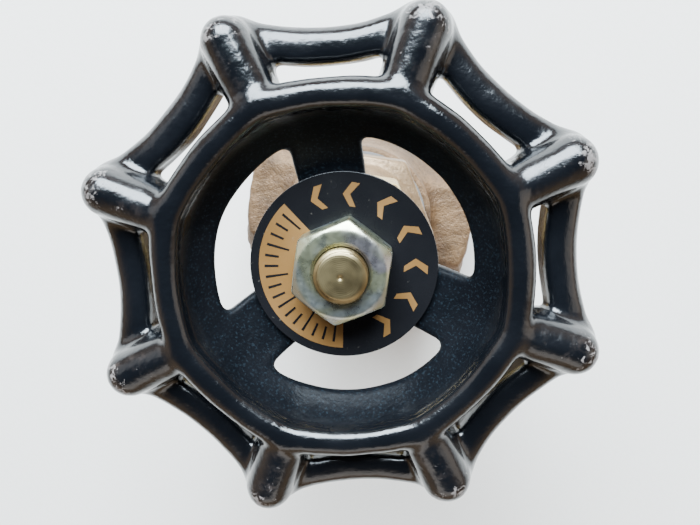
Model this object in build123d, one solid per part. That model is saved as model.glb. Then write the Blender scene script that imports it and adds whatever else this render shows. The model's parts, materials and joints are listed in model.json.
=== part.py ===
from build123d import *
from math import cos, degrees, pi, radians, sin, sqrt
import os

# Screw-down flow control valve of globe pattern for 1/2 inch pipe, shown closed.
# Frame: the stem stands along +Z and the pipe run lies along X.
# The origin is under the stem, on the plane of the lower flats of the two hexagon ends.
# Threads are plain cylinders. All sizes are in millimetres.

# ---- driving dimensions -------------------------------------------------------------

THREAD_GAP = 0.05           # radial gap between a male and a female thread

# body and pipe ends
RUN_LENGTH = 45.0           # over the two ends
END_HEX_AF = 27.0           # across the flats of each end
END_HEX_LENGTH = 13.0
PORT_RADIUS = 9.3           # mean wall of the 1/2 inch pipe thread
PORT_DEPTH = 11.0
PASSAGE_RADIUS = 8.2
BARREL_RADIUS = 11.6
GLOBE_RADIUS = 16.0
GLOBE_RISE = 3.0            # globe centre above the run's axis
SHELL_WALL = 3.0
NECK_RADIUS = 13.5
NECK_TOP = 23.0             # above the run's axis
NECK_BORE_RADIUS = 10.45
NECK_BORE_BOTTOM = 12.0

# seat bridge inside the body, heights above the run's axis
SEAT_BORE_RADIUS = 6.25
SEAT_RING_RADIUS = 8.0
SEAT_FACE = 2.5
BRIDGE_BOTTOM = -1.0
BRIDGE_TOP = 2.0
BRIDGE_WALL_INNER = 8.0
BRIDGE_WALL_OUTER = 10.5

# bonnet, heights above the run's axis
GASKET_THICKNESS = 0.8
GASKET_INNER_RADIUS = 10.6
GASKET_OUTER_RADIUS = 12.4
BONNET_SPIGOT_BOTTOM = 15.5
BONNET_CAVITY_RADIUS = 6.7
BONNET_CAVITY_TOP = 22.0
BONNET_HEX_AF = 24.0
BONNET_HEX_HEIGHT = 8.0
BONNET_COLLAR_RADIUS = 9.0
BONNET_COLLAR_TOP = 36.0
BONNET_THREAD_RADIUS = 7.9
BONNET_TOP = 45.0
STUFFING_BOX_RADIUS = 5.6
STUFFING_BOX_BOTTOM = 35.5

# packing
PACKING_GAP = 0.05
PACKING_WASHER_THICKNESS = 1.0
PACKING_RING_HEIGHT = 2.2
GLAND_SLEEVE_LENGTH = 2.9
GLAND_FLANGE_RADIUS = 6.9
GLAND_FLANGE_THICKNESS = 1.5
PACKING_NUT_AF = 19.0
PACKING_NUT_HEIGHT = 12.0
PACKING_NUT_ROOF = 3.0

# stem, heights above the run's axis
TRAVEL = 7.0                # lift from closed to fully open
STEM_LEAD = 2.0             # lift for each turn of the wheel
STEM_FOOT_RADIUS = 4.3
STEM_FOOT_BOTTOM = 6.6
STEM_FOOT_HEIGHT = 1.9
STEM_NECK_RADIUS = 2.9
STEM_NECK_TOP = 12.6
STEM_THREAD_RADIUS = 4.4
STEM_THREAD_TOP = 28.0
STEM_SHANK_RADIUS = 3.95
STEM_SQUARE_AF = 6.4
STEM_END_RADIUS = 3.175     # 1/4 inch thread for the wheel nut
STEM_END_RISE = 7.5         # stem end above the hub's top face

# disc and its fittings, heights above the run's axis
HOLDER_RADIUS = 7.6
HOLDER_BOTTOM = 3.1
HOLDER_SHOULDER = 7.5
HOLDER_NECK_RADIUS = 6.3
HOLDER_TOP = 11.6
HOLDER_SOCKET_RADIUS = 4.7
HOLDER_STUD_RADIUS = 1.6
HOLDER_STUD_BOTTOM = -1.4
SEAT_DISC_RADIUS = 6.9
SEAT_DISC_THICKNESS = 2.4
DISC_WASHER_RADIUS = 3.6
DISC_WASHER_THICKNESS = 0.6
DISC_NUT_AF = 5.5
DISC_NUT_HEIGHT = 2.0
LOCK_NUT_BOTTOM = 8.7
LOCK_NUT_TOP = 12.3
LOCK_NUT_FLANGE_RADIUS = 5.9

# handwheel, heights above the hub's top face
WHEEL_HEIGHT = 67.0         # hub's top face above the run's axis, valve closed
LOBE_COUNT = 8
LOBE_ANGLE = 35.0           # first lobe, from +X
SPOKE_COUNT = 3
SPOKE_ANGLE = 107.0         # first spoke, from +X
SPOKE_WIDTH = 8.2
HUB_RADIUS = 6.6
HUB_HEIGHT = 9.0
WINDOW_INNER_RADIUS = 8.0
WINDOW_OUTER_RADIUS = 15.9
WINDOW_CORNER = 1.0
LOBE_TIP_RADIUS = 31.8      # wheel centre to the tip of a lobe
LOBE_NOSE_RADIUS = 4.2      # rounding of a tip, seen from above
VALLEY_RADIUS = 27.75       # wheel centre to the rim between two lobes
BAND_WIDTH = 4.1
BAND_INNER_NOSE = 1.2       # rounding of the band's inner corners, seen from above
BAND_BOTTOM = -2.4
BAND_TOP = 2.9
FINGER_WIDTH = 6.2
FINGER_TOP = 7.3
FINGER_WALL = 2.9
FINGER_ROOT = 20.45         # where a finger leaves the crest ring
FINGER_EDGE = 1.7           # rounding along a finger
FINGER_BEND = 3.4           # bend where a finger turns down over the tip
CREST_RADIUS = 20.45
CREST_TOP = 7.6
CREST_HALF_WIDTH = 1.5
WEB_SINK = 0.4              # web's upper face below the hub's
WEB_THICKNESS = 3.0

# identification plate and wheel nut
PLATE_RADIUS = 11.5
PLATE_THICKNESS = 0.5
PLATE_HOLE_RADIUS = 3.4
WHEEL_NUT_AF = 11.11        # 7/16 inch
WHEEL_NUT_HEIGHT = 5.1
WHEEL_NUT_TURN = 31.0       # one corner of the nut, from +X

# ---- derived heights, measured from the origin --------------------------------------

AXIS_Z = END_HEX_AF / 2
BONNET_SEAT_Z = AXIS_Z + NECK_TOP + GASKET_THICKNESS
PACKING_Z = AXIS_Z + STUFFING_BOX_BOTTOM + PACKING_WASHER_THICKNESS
GLAND_Z = PACKING_Z + 3 * PACKING_RING_HEIGHT
GLAND_FLANGE_Z = GLAND_Z + GLAND_SLEEVE_LENGTH
GLAND_TOP_Z = GLAND_FLANGE_Z + GLAND_FLANGE_THICKNESS
PACKING_NUT_TOP_Z = GLAND_TOP_Z + PACKING_NUT_ROOF
WHEEL_Z = AXIS_Z + WHEEL_HEIGHT
OPEN_TURNS = TRAVEL / STEM_LEAD


# ---- helpers ------------------------------------------------------------------------

def rod(radius, bottom, top):
    """A solid cylinder on the stem's axis between two heights."""
    return Pos(0, 0, bottom) * Cylinder(radius, top - bottom, align=(Align.CENTER, Align.CENTER, Align.MIN))


def ring(outer, inner, bottom, top):
    """A plain ring on the stem's axis."""
    return rod(outer, bottom, top) - rod(inner, bottom - 1, top + 1)


def box(x, y, z):
    """A block from its (low, high) pairs along each axis."""
    centre = Pos(sum(x) / 2, sum(y) / 2, sum(z) / 2)
    return centre * Box(x[1] - x[0], y[1] - y[0], z[1] - z[0])


def hexagon(across_flats, bottom, top, chamfer=0.0, both=False):
    """A hexagon on the stem's axis with flats along X, its corners turned off by a cone."""
    corner_radius = across_flats / 2 / cos(pi / 6)
    outline = RegularPolygon(corner_radius, 6, rotation=0)
    body = Pos(0, 0, bottom) * extrude(outline, amount=top - bottom)
    if chamfer:
        height = chamfer * sin(radians(30)) / cos(radians(30))
        top_cone = Cone(corner_radius, corner_radius - chamfer, height,
                        align=(Align.CENTER, Align.CENTER, Align.MAX))
        guard = rod(corner_radius, bottom - 1, top - height)
        body = body & (guard + Pos(0, 0, top) * top_cone)
        if both:
            low_cone = Cone(corner_radius - chamfer, corner_radius, height,
                            align=(Align.CENTER, Align.CENTER, Align.MIN))
            guard = rod(corner_radius, bottom + height, top + 1)
            body = body & (guard + Pos(0, 0, bottom) * low_cone)
    return body


def along_run(solid):
    """Lay a solid that was made on the Z axis along +X, at the height of the run."""
    return Pos(0, 0, AXIS_Z) * Rot(0, 90, 0) * solid


def save(solid, name):
    """Write one sub-part."""
    export_step(Part() + solid, f"parts/{name}.step")


# ---- body ---------------------------------------------------------------------------

def run_outside():
    """Two hexagon ends, joined by round barrels and a globe, with the bonnet's neck."""
    half = RUN_LENGTH / 2
    end = hexagon(END_HEX_AF, half - END_HEX_LENGTH, half, chamfer=1.6, both=True)
    end = Rot(0, 0, 30) * end
    barrel = rod(BARREL_RADIUS, 0, half - END_HEX_LENGTH / 2)
    side = along_run(end) + along_run(barrel)
    globe = Pos(0, 0, AXIS_Z + GLOBE_RISE) * Sphere(GLOBE_RADIUS)
    neck = rod(NECK_RADIUS, AXIS_Z, AXIS_Z + NECK_TOP)
    neck = chamfer(neck.edges().group_by(Axis.Z)[-1], 0.8)
    return side + Rot(0, 0, 180) * side + globe + neck


def run_inside():
    """The threaded ports, the waterway, the chamber and the bonnet's thread."""
    half = RUN_LENGTH / 2
    port = along_run(rod(PORT_RADIUS, half - PORT_DEPTH, half + 1))
    mouth = Cone(PORT_RADIUS, PORT_RADIUS + 1.2, 1.2, align=(Align.CENTER, Align.CENTER, Align.MAX))
    mouth = along_run(Pos(0, 0, half + 0.2) * mouth)
    waterway = along_run(rod(PASSAGE_RADIUS, 0, half))
    side = port + mouth + waterway
    chamber = Pos(0, 0, AXIS_Z + GLOBE_RISE) * Sphere(GLOBE_RADIUS - SHELL_WALL)
    neck_bore = rod(NECK_BORE_RADIUS, AXIS_Z + NECK_BORE_BOTTOM, AXIS_Z + NECK_TOP + 1)
    throat = rod(NECK_BORE_RADIUS - 0.8, AXIS_Z + GLOBE_RISE, AXIS_Z + NECK_BORE_BOTTOM + 1)
    return side + Rot(0, 0, 180) * side + chamber + neck_bore + throat


def seat_bridge():
    """The stepped wall that leads the flow up through the seat."""
    wide = (-GLOBE_RADIUS, GLOBE_RADIUS)
    floor = box((-BRIDGE_WALL_OUTER, BRIDGE_WALL_OUTER), wide, (AXIS_Z + BRIDGE_BOTTOM, AXIS_Z + BRIDGE_TOP))
    inlet_wall = box((-BRIDGE_WALL_OUTER, -BRIDGE_WALL_INNER), wide,
                     (AXIS_Z + BRIDGE_BOTTOM, AXIS_Z + NECK_BORE_BOTTOM))
    outlet_wall = box((BRIDGE_WALL_INNER, BRIDGE_WALL_OUTER), wide, (1.0, AXIS_Z + BRIDGE_TOP))
    seat = rod(SEAT_RING_RADIUS, AXIS_Z + BRIDGE_BOTTOM, AXIS_Z + SEAT_FACE)
    return floor + inlet_wall + outlet_wall + seat


def valve_body():
    """The whole casting."""
    outside = run_outside()
    limit = Pos(0, 0, AXIS_Z + GLOBE_RISE) * Sphere(GLOBE_RADIUS - SHELL_WALL / 2)
    bridge = seat_bridge() & limit
    body = (outside - run_inside()) + bridge
    return body - rod(SEAT_BORE_RADIUS, AXIS_Z + BRIDGE_BOTTOM - 2, AXIS_Z + SEAT_FACE + 0.4)


# ---- bonnet and packing -------------------------------------------------------------

def bonnet_gasket():
    """Flat ring between the neck and the bonnet's hexagon."""
    return ring(GASKET_OUTER_RADIUS, GASKET_INNER_RADIUS, AXIS_Z + NECK_TOP, BONNET_SEAT_Z)


def bonnet():
    """Screwed bonnet with a hexagon, the stem's nut thread and the stuffing box."""
    hex_top = BONNET_SEAT_Z + BONNET_HEX_HEIGHT
    spigot = rod(NECK_BORE_RADIUS - THREAD_GAP, AXIS_Z + BONNET_SPIGOT_BOTTOM, BONNET_SEAT_Z + 1)
    head = hexagon(BONNET_HEX_AF, BONNET_SEAT_Z, hex_top, chamfer=1.4)
    taper = Cone(BONNET_COLLAR_RADIUS + 1.6, BONNET_COLLAR_RADIUS, AXIS_Z + BONNET_COLLAR_TOP - hex_top,
                 align=(Align.CENTER, Align.CENTER, Align.MIN))
    collar = Pos(0, 0, hex_top) * taper
    thread = rod(BONNET_THREAD_RADIUS, hex_top, AXIS_Z + BONNET_TOP)
    thread = chamfer(thread.edges().group_by(Axis.Z)[-1], 0.6)
    outside = spigot + head + collar + thread
    cavity = rod(BONNET_CAVITY_RADIUS, AXIS_Z, AXIS_Z + BONNET_CAVITY_TOP)
    stem_thread = rod(STEM_THREAD_RADIUS + THREAD_GAP, AXIS_Z, AXIS_Z + BONNET_TOP)
    stuffing_box = rod(STUFFING_BOX_RADIUS, AXIS_Z + STUFFING_BOX_BOTTOM, AXIS_Z + BONNET_TOP + 1)
    return outside - cavity - stem_thread - stuffing_box


def packing_washer():
    """Metal washer on the floor of the stuffing box."""
    bore = STEM_SHANK_RADIUS + PACKING_GAP
    return ring(STUFFING_BOX_RADIUS - PACKING_GAP, bore, AXIS_Z + STUFFING_BOX_BOTTOM, PACKING_Z)


def packing_ring(level):
    """One soft ring of the packing, counted from the bottom."""
    bottom = PACKING_Z + level * PACKING_RING_HEIGHT
    bore = STEM_SHANK_RADIUS + PACKING_GAP
    return ring(STUFFING_BOX_RADIUS - PACKING_GAP, bore, bottom, bottom + PACKING_RING_HEIGHT)


def packing_gland():
    """Flanged follower that presses on the packing."""
    bore = STEM_SHANK_RADIUS + PACKING_GAP
    sleeve = rod(STUFFING_BOX_RADIUS - PACKING_GAP, GLAND_Z, GLAND_TOP_Z)
    flange = rod(GLAND_FLANGE_RADIUS, GLAND_FLANGE_Z, GLAND_TOP_Z)
    return sleeve + flange - rod(bore, GLAND_Z - 1, GLAND_TOP_Z + 1)


def packing_nut():
    """Hexagon cap nut, screwed over the bonnet."""
    bottom = PACKING_NUT_TOP_Z - PACKING_NUT_HEIGHT
    shape = hexagon(PACKING_NUT_AF, bottom, PACKING_NUT_TOP_Z, chamfer=1.8, both=True)
    thread = rod(BONNET_THREAD_RADIUS + THREAD_GAP, bottom - 1, GLAND_TOP_Z)
    stem_hole = rod(STEM_SHANK_RADIUS + 0.08, GLAND_TOP_Z - 1, PACKING_NUT_TOP_Z + 1)
    return shape - thread - stem_hole


# ---- stem and disc ------------------------------------------------------------------

def stem():
    """Foot, neck, thread, shank, wheel square and nut thread, in one turned piece."""
    foot_top = AXIS_Z + STEM_FOOT_BOTTOM + STEM_FOOT_HEIGHT
    hub_bottom = WHEEL_Z - HUB_HEIGHT
    foot = rod(STEM_FOOT_RADIUS, AXIS_Z + STEM_FOOT_BOTTOM, foot_top)
    foot = fillet(foot.edges().group_by(Axis.Z)[0], 0.6)
    neck = rod(STEM_NECK_RADIUS, foot_top, AXIS_Z + STEM_NECK_TOP)
    thread = rod(STEM_THREAD_RADIUS, AXIS_Z + STEM_NECK_TOP, AXIS_Z + STEM_THREAD_TOP)
    thread = chamfer(thread.edges().group_by(Axis.Z)[0] + thread.edges().group_by(Axis.Z)[-1], 0.4)
    shank = rod(STEM_SHANK_RADIUS, AXIS_Z + STEM_THREAD_TOP, hub_bottom)
    half = STEM_SQUARE_AF / 2
    square = box((-half, half), (-half, half), (hub_bottom, WHEEL_Z - 0.3))
    square = square & rod(STEM_SHANK_RADIUS, hub_bottom, WHEEL_Z)
    end = rod(STEM_END_RADIUS, WHEEL_Z - 0.3, WHEEL_Z + STEM_END_RISE)
    end = chamfer(end.edges().group_by(Axis.Z)[-1], 0.6)
    return foot + neck + thread + shank + square + end


def disc_holder():
    """Cup that holds the seat disc below and the stem's foot above."""
    recess_top = AXIS_Z + SEAT_FACE + SEAT_DISC_THICKNESS
    lower = rod(HOLDER_RADIUS, AXIS_Z + HOLDER_BOTTOM, AXIS_Z + HOLDER_SHOULDER)
    lower = chamfer(lower.edges().group_by(Axis.Z)[-1], 0.5)
    upper = rod(HOLDER_NECK_RADIUS, AXIS_Z + HOLDER_SHOULDER, AXIS_Z + HOLDER_TOP)
    recess = rod(SEAT_DISC_RADIUS + 0.02, AXIS_Z, recess_top)
    stud = rod(HOLDER_STUD_RADIUS, AXIS_Z + HOLDER_STUD_BOTTOM, recess_top + 0.5)
    floor = AXIS_Z + STEM_FOOT_BOTTOM - 0.05
    socket = rod(HOLDER_SOCKET_RADIUS, floor, AXIS_Z + HOLDER_TOP + 1)
    return lower + upper - recess - socket + stud


def disc_lock_nut():
    """Screwed ring round the stem's neck, over its foot."""
    thread = rod(HOLDER_SOCKET_RADIUS, AXIS_Z + LOCK_NUT_BOTTOM, AXIS_Z + HOLDER_TOP)
    flange = hexagon(2 * LOCK_NUT_FLANGE_RADIUS * cos(pi / 6), AXIS_Z + HOLDER_TOP, AXIS_Z + LOCK_NUT_TOP)
    bore = rod(STEM_NECK_RADIUS + 0.08, AXIS_Z, AXIS_Z + LOCK_NUT_TOP + 1)
    return thread + flange - bore


def seat_disc():
    """Soft disc that closes on the seat, just clear of it so that the two do not overlap."""
    bottom = AXIS_Z + SEAT_FACE + 0.02
    top = AXIS_Z + SEAT_FACE + SEAT_DISC_THICKNESS
    return ring(SEAT_DISC_RADIUS, HOLDER_STUD_RADIUS + 0.02, bottom, top)


def seat_disc_washer():
    """Washer under the seat disc, inside the seat's bore."""
    top = AXIS_Z + SEAT_FACE + 0.02
    return ring(DISC_WASHER_RADIUS, HOLDER_STUD_RADIUS + 0.02, top - DISC_WASHER_THICKNESS, top)


def seat_disc_nut():
    """Small hexagon nut on the holder's stud."""
    top = AXIS_Z + SEAT_FACE + 0.02 - DISC_WASHER_THICKNESS
    shape = hexagon(DISC_NUT_AF, top - DISC_NUT_HEIGHT, top, chamfer=0.4, both=True)
    return shape - rod(HOLDER_STUD_RADIUS + 0.02, top - DISC_NUT_HEIGHT - 1, top + 1)


# ---- handwheel ----------------------------------------------------------------------

def scallop_outline(tip, nose, valley):
    """Closed outline with a round nose at each lobe and a hollow arc between two lobes."""
    step = 2 * pi / LOBE_COUNT
    nose_centre = tip - nose
    # The hollow arc is tangent to both noses and passes through the valley point.
    reach = valley - nose
    hollow_centre = (nose_centre ** 2 - reach ** 2) / (2 * (nose_centre * cos(step / 2) - reach))
    hollow_radius = hollow_centre - valley
    span = nose / (nose + hollow_radius)
    edges = []
    for number in range(LOBE_COUNT):
        lobe = radians(LOBE_ANGLE) + number * step
        nose_point = Vector(nose_centre * cos(lobe), nose_centre * sin(lobe))
        joints = []
        for side in (-1, 1):
            middle = lobe + side * step / 2
            hollow_point = Vector(hollow_centre * cos(middle), hollow_centre * sin(middle))
            joints.append(nose_point + (hollow_point - nose_point) * span)
        summit = Vector(tip * cos(lobe), tip * sin(lobe))
        edges.append(ThreePointArc(joints[0], summit, joints[1]))
        middle = lobe + step / 2
        low_point = Vector(valley * cos(middle), valley * sin(middle))
        turned = joints[0].rotate(Axis.Z, degrees(step))
        edges.append(ThreePointArc(joints[1], low_point, turned))
    return make_face(edges)


def rim_band():
    """The scalloped outer band of the rim."""
    outer = scallop_outline(LOBE_TIP_RADIUS, LOBE_NOSE_RADIUS, VALLEY_RADIUS)
    inner = scallop_outline(LOBE_TIP_RADIUS - BAND_WIDTH, BAND_INNER_NOSE, VALLEY_RADIUS - BAND_WIDTH)
    band = extrude(outer - inner, amount=BAND_TOP - BAND_BOTTOM)
    return Pos(0, 0, BAND_BOTTOM) * band


def dish():
    """Hub, web, sloping bowl and crest ring, turned in one profile."""
    web_top = -WEB_SINK
    web_bottom = web_top - WEB_THICKNESS
    profile = [
        (0, 0),
        (HUB_RADIUS, 0),
        (HUB_RADIUS, web_top),
        (WINDOW_INNER_RADIUS + 3, web_top),
        (WINDOW_OUTER_RADIUS, 2.2),
        (CREST_RADIUS - CREST_HALF_WIDTH, 6.2),
        (CREST_RADIUS - 0.6, CREST_TOP - 0.2),
        (CREST_RADIUS, CREST_TOP),
        (CREST_RADIUS + 0.7, CREST_TOP - 0.3),
        (CREST_RADIUS + CREST_HALF_WIDTH, 6.0),
        (CREST_RADIUS + CREST_HALF_WIDTH - 0.1, 4.2),
        (WINDOW_OUTER_RADIUS + 2.4, web_top),
        (WINDOW_INNER_RADIUS + 3.6, web_bottom),
        (HUB_RADIUS, web_bottom),
        (HUB_RADIUS, -HUB_HEIGHT),
        (0, -HUB_HEIGHT),
    ]
    face = make_face(Polyline(*[(r, 0, z) for r, z in profile], close=True))
    return revolve(face, Axis.Z)


def spoke_window(number):
    """Opening between two spokes, as a cutter."""
    middle = SPOKE_ANGLE + (number + 0.5) * 360 / SPOKE_COUNT
    lead_in = [(0, 0), (40, 40 * sqrt(3)), (80, 0), (40, -40 * sqrt(3))]
    wedge = make_face(Polyline(*lead_in, close=True))
    wedge = Pos(SPOKE_WIDTH / 2 / sin(pi / 3), 0) * wedge
    opening = (Circle(WINDOW_OUTER_RADIUS) - Circle(WINDOW_INNER_RADIUS)) & wedge
    opening = fillet(opening.vertices(), WINDOW_CORNER)
    cutter = Pos(0, 0, -HUB_HEIGHT) * extrude(opening, amount=2 * HUB_HEIGHT)
    return Rot(0, 0, middle) * cutter


def finger(number):
    """Ridge from the crest ring over the rim at one lobe, hollow underneath."""
    bend_r = LOBE_TIP_RADIUS - FINGER_BEND
    bend_z = FINGER_TOP - 0.4 - FINGER_BEND
    top = [(FINGER_ROOT - 0.4, FINGER_TOP), (bend_r, bend_z + FINGER_BEND)]
    outer_end = (LOBE_TIP_RADIUS, bend_z)
    corner = (bend_r + FINGER_BEND * cos(pi / 4), bend_z + FINGER_BEND * sin(pi / 4))
    bottom = FINGER_TOP - FINGER_WALL
    outline = [
        Line((top[0][0], 0, top[0][1]), (top[1][0], 0, top[1][1])),
        ThreePointArc((top[1][0], 0, top[1][1]), (corner[0], 0, corner[1]), (outer_end[0], 0, outer_end[1])),
        Polyline(
            (outer_end[0], 0, outer_end[1]),
            (LOBE_TIP_RADIUS, 0, BAND_BOTTOM),
            (LOBE_TIP_RADIUS - BAND_WIDTH, 0, BAND_BOTTOM),
            (LOBE_TIP_RADIUS - BAND_WIDTH, 0, bottom - 0.6),
            (FINGER_ROOT - 0.4, 0, bottom),
            (top[0][0], 0, top[0][1]),
        ),
    ]
    side = make_face(outline)
    ridge = extrude(side, amount=FINGER_WIDTH / 2, both=True)
    long_edges = ridge.edges().filter_by(lambda edge: abs(edge.center().Y) > FINGER_WIDTH / 2 - 0.01)
    upper_edges = long_edges.filter_by(lambda edge: edge.center().Z > bottom + 0.2)
    outer_edges = upper_edges.filter_by(lambda edge: edge.center().X > FINGER_ROOT + 0.2)
    ridge = fillet(outer_edges, FINGER_EDGE)
    plan = scallop_outline(LOBE_TIP_RADIUS, LOBE_NOSE_RADIUS, VALLEY_RADIUS)
    plan = Rot(0, 0, -LOBE_ANGLE) * plan
    block = Pos(0, 0, BAND_BOTTOM) * extrude(plan, amount=FINGER_TOP - BAND_BOTTOM + 1)
    ridge = ridge & block
    return Rot(0, 0, LOBE_ANGLE + number * 360 / LOBE_COUNT) * ridge


def handwheel():
    """The whole casting, moved to its height on the stem."""
    wheel = dish()
    for number in range(SPOKE_COUNT):
        wheel -= spoke_window(number)
    wheel += rim_band()
    for number in range(LOBE_COUNT):
        wheel += finger(number)
    half = STEM_SQUARE_AF / 2 + 0.05
    square = box((-half, half), (-half, half), (-HUB_HEIGHT - 1, 1))
    wheel -= square & rod(STEM_SHANK_RADIUS + 0.05, -HUB_HEIGHT - 1, 1)
    return Pos(0, 0, WHEEL_Z) * wheel


def identification_plate():
    """Thin disc on top of the hub."""
    return ring(PLATE_RADIUS, PLATE_HOLE_RADIUS, WHEEL_Z, WHEEL_Z + PLATE_THICKNESS)


def wheel_nut():
    """Hexagon nut that clamps the plate and the wheel."""
    bottom = WHEEL_Z + PLATE_THICKNESS
    shape = hexagon(WHEEL_NUT_AF, bottom, bottom + WHEEL_NUT_HEIGHT, chamfer=0.75)
    shape = Rot(0, 0, WHEEL_NUT_TURN) * shape
    return shape - rod(STEM_END_RADIUS + THREAD_GAP, bottom - 1, bottom + WHEEL_NUT_HEIGHT + 1)


# ---- write every sub-part -----------------------------------------------------------

os.makedirs("parts", exist_ok=True)

PARTS = {
    "valve_body": valve_body(),
    "bonnet_gasket": bonnet_gasket(),
    "bonnet": bonnet(),
    "packing_washer": packing_washer(),
    "packing_ring_lower": packing_ring(0),
    "packing_ring_middle": packing_ring(1),
    "packing_ring_upper": packing_ring(2),
    "packing_gland": packing_gland(),
    "packing_nut": packing_nut(),
    "stem": stem(),
    "disc_holder": disc_holder(),
    "disc_lock_nut": disc_lock_nut(),
    "seat_disc": seat_disc(),
    "seat_disc_washer": seat_disc_washer(),
    "seat_disc_nut": seat_disc_nut(),
    "handwheel": handwheel(),
    "identification_plate": identification_plate(),
    "wheel_nut": wheel_nut(),
}

for name, solid in PARTS.items():
    save(solid, name)

print(f"run axis at z = {AXIS_Z:.2f}, wheel face at z = {WHEEL_Z:.2f}, turns to open = {OPEN_TURNS:.2f}")
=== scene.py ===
"""Looks of the flow control valve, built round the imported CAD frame.

The castings, nuts and stem are closed surfaces drawn from distance fields: a field is a function
that is negative inside the metal, and smooth unions in it make the fillets of a real casting.
Fields work in millimetres in the frame of the part; meshes are written in metres.
"""
import json
import math

import bpy
import numpy as np
from mathutils import Matrix, Vector


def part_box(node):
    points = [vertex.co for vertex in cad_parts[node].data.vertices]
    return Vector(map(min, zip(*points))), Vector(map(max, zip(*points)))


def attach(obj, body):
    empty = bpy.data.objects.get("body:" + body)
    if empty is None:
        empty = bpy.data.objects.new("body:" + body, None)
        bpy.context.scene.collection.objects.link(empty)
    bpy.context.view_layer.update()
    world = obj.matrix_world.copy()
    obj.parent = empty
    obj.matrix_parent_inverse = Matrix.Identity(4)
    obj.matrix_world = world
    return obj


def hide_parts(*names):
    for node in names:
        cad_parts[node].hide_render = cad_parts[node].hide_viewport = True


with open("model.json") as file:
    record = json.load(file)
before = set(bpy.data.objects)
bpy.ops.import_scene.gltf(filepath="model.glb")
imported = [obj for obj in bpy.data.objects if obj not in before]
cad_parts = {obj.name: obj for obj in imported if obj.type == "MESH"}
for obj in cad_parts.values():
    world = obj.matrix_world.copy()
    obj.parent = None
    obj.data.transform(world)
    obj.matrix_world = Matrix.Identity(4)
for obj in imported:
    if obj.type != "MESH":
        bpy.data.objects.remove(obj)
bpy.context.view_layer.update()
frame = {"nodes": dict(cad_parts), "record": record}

MM = 0.001


# ---- places read from the frame, in millimetres ---------------------------------------------

def cad(node):
    """Lowest and highest corner of a CAD node in millimetres."""
    low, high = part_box(node)
    return np.array(low) / MM, np.array(high) / MM


BODY_HIGH = cad("valve_body")[1]
BONNET_LOW, BONNET_HIGH = cad("bonnet")
GASKET_LOW, GASKET_HIGH = cad("bonnet_gasket")
PACKING_NUT_LOW, PACKING_NUT_HIGH = cad("packing_nut")
STEM_LOW, STEM_HIGH = cad("stem")
PLATE_LOW, PLATE_HIGH = cad("identification_plate")
NUT_LOW, NUT_HIGH = cad("wheel_nut")

HUB_TOP = PLATE_LOW[2]
END_AF = 27.0                # across the flats of the pipe ends
RUN_Z = END_AF / 2           # height of the run's axis
FACE_GAP = 0.02              # turned faces stay this far inside the CAD's faces

FULL_TURN = 2 * math.pi
SIN_30 = 0.5
COS_30 = math.sqrt(0.75)
COS_45 = 0.707
TINY = 1e-12


# ---- distance field tools -------------------------------------------------------------------

def smooth_min(a, b, k):
    """Union with a fillet of about k."""
    h = np.maximum(k - np.abs(a - b), 0.0) / k
    return np.minimum(a, b) - h * h * k / 4


def smooth_max(a, b, k):
    """Intersection with a rounded edge of about k."""
    return -smooth_min(-a, -b, k)


def step_up(value, low, high):
    """0 below low, 1 above high, smooth between."""
    t = np.clip((value - low) / (high - low), 0, 1)
    return t * t * (3 - 2 * t)


def fold(angle, first, count):
    """Angle from the nearest of count equal directions."""
    sector = FULL_TURN / count
    return (angle - first + sector / 2) % sector - sector / 2


def turn(x, y, angle):
    """Coordinates in a frame turned by angle about Z."""
    c, s = math.cos(angle), math.sin(angle)
    return c * x + s * y, c * y - s * x


WAVE_COUNT = 6
WAVE_SPREAD = (0.7, 1.4)
WAVE_TOTAL = 3.5             # brings the sum of the waves to about 1


def waves(x, y, z, size, seed):
    """Soft unevenness between about -1 and 1, with bumps about size across."""
    rng = np.random.default_rng(seed)
    total = np.zeros_like(x)
    for _ in range(WAVE_COUNT):
        direction = rng.normal(size=3)
        direction *= rng.uniform(*WAVE_SPREAD) * 2 * math.pi / (size * 2 * np.linalg.norm(direction))
        phase = rng.uniform(0, FULL_TURN)
        total += np.sin(direction[0] * x + direction[1] * y + direction[2] * z + phase)
    return total / WAVE_TOTAL


def hexagon(a, b, across, k):
    """Hexagon in a plane, with two flats square to the second axis."""
    first = np.abs(b)
    second = np.abs(SIN_30 * b + COS_30 * a)
    third = np.abs(SIN_30 * b - COS_30 * a)
    return smooth_max(smooth_max(first, second, k), third, k) - across / 2


def slab(value, low, high):
    """The space between two parallel planes."""
    return np.abs(value - (low + high) / 2) - (high - low) / 2


def prism(x, y, half):
    """Square bar along Z, from its half width."""
    return np.maximum(np.abs(x), np.abs(y)) - half


def cone(r, h, radius, rise):
    """Below a 30 degree cone that passes through radius at height rise."""
    return (r - radius) * SIN_30 + (h - rise) * COS_30


def countersink(r, z, radius, face):
    """Inside a 45 degree countersink of that radius in the upper face of a nut."""
    return (r - radius) * 0.7 + (face - z) * 0.7


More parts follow.
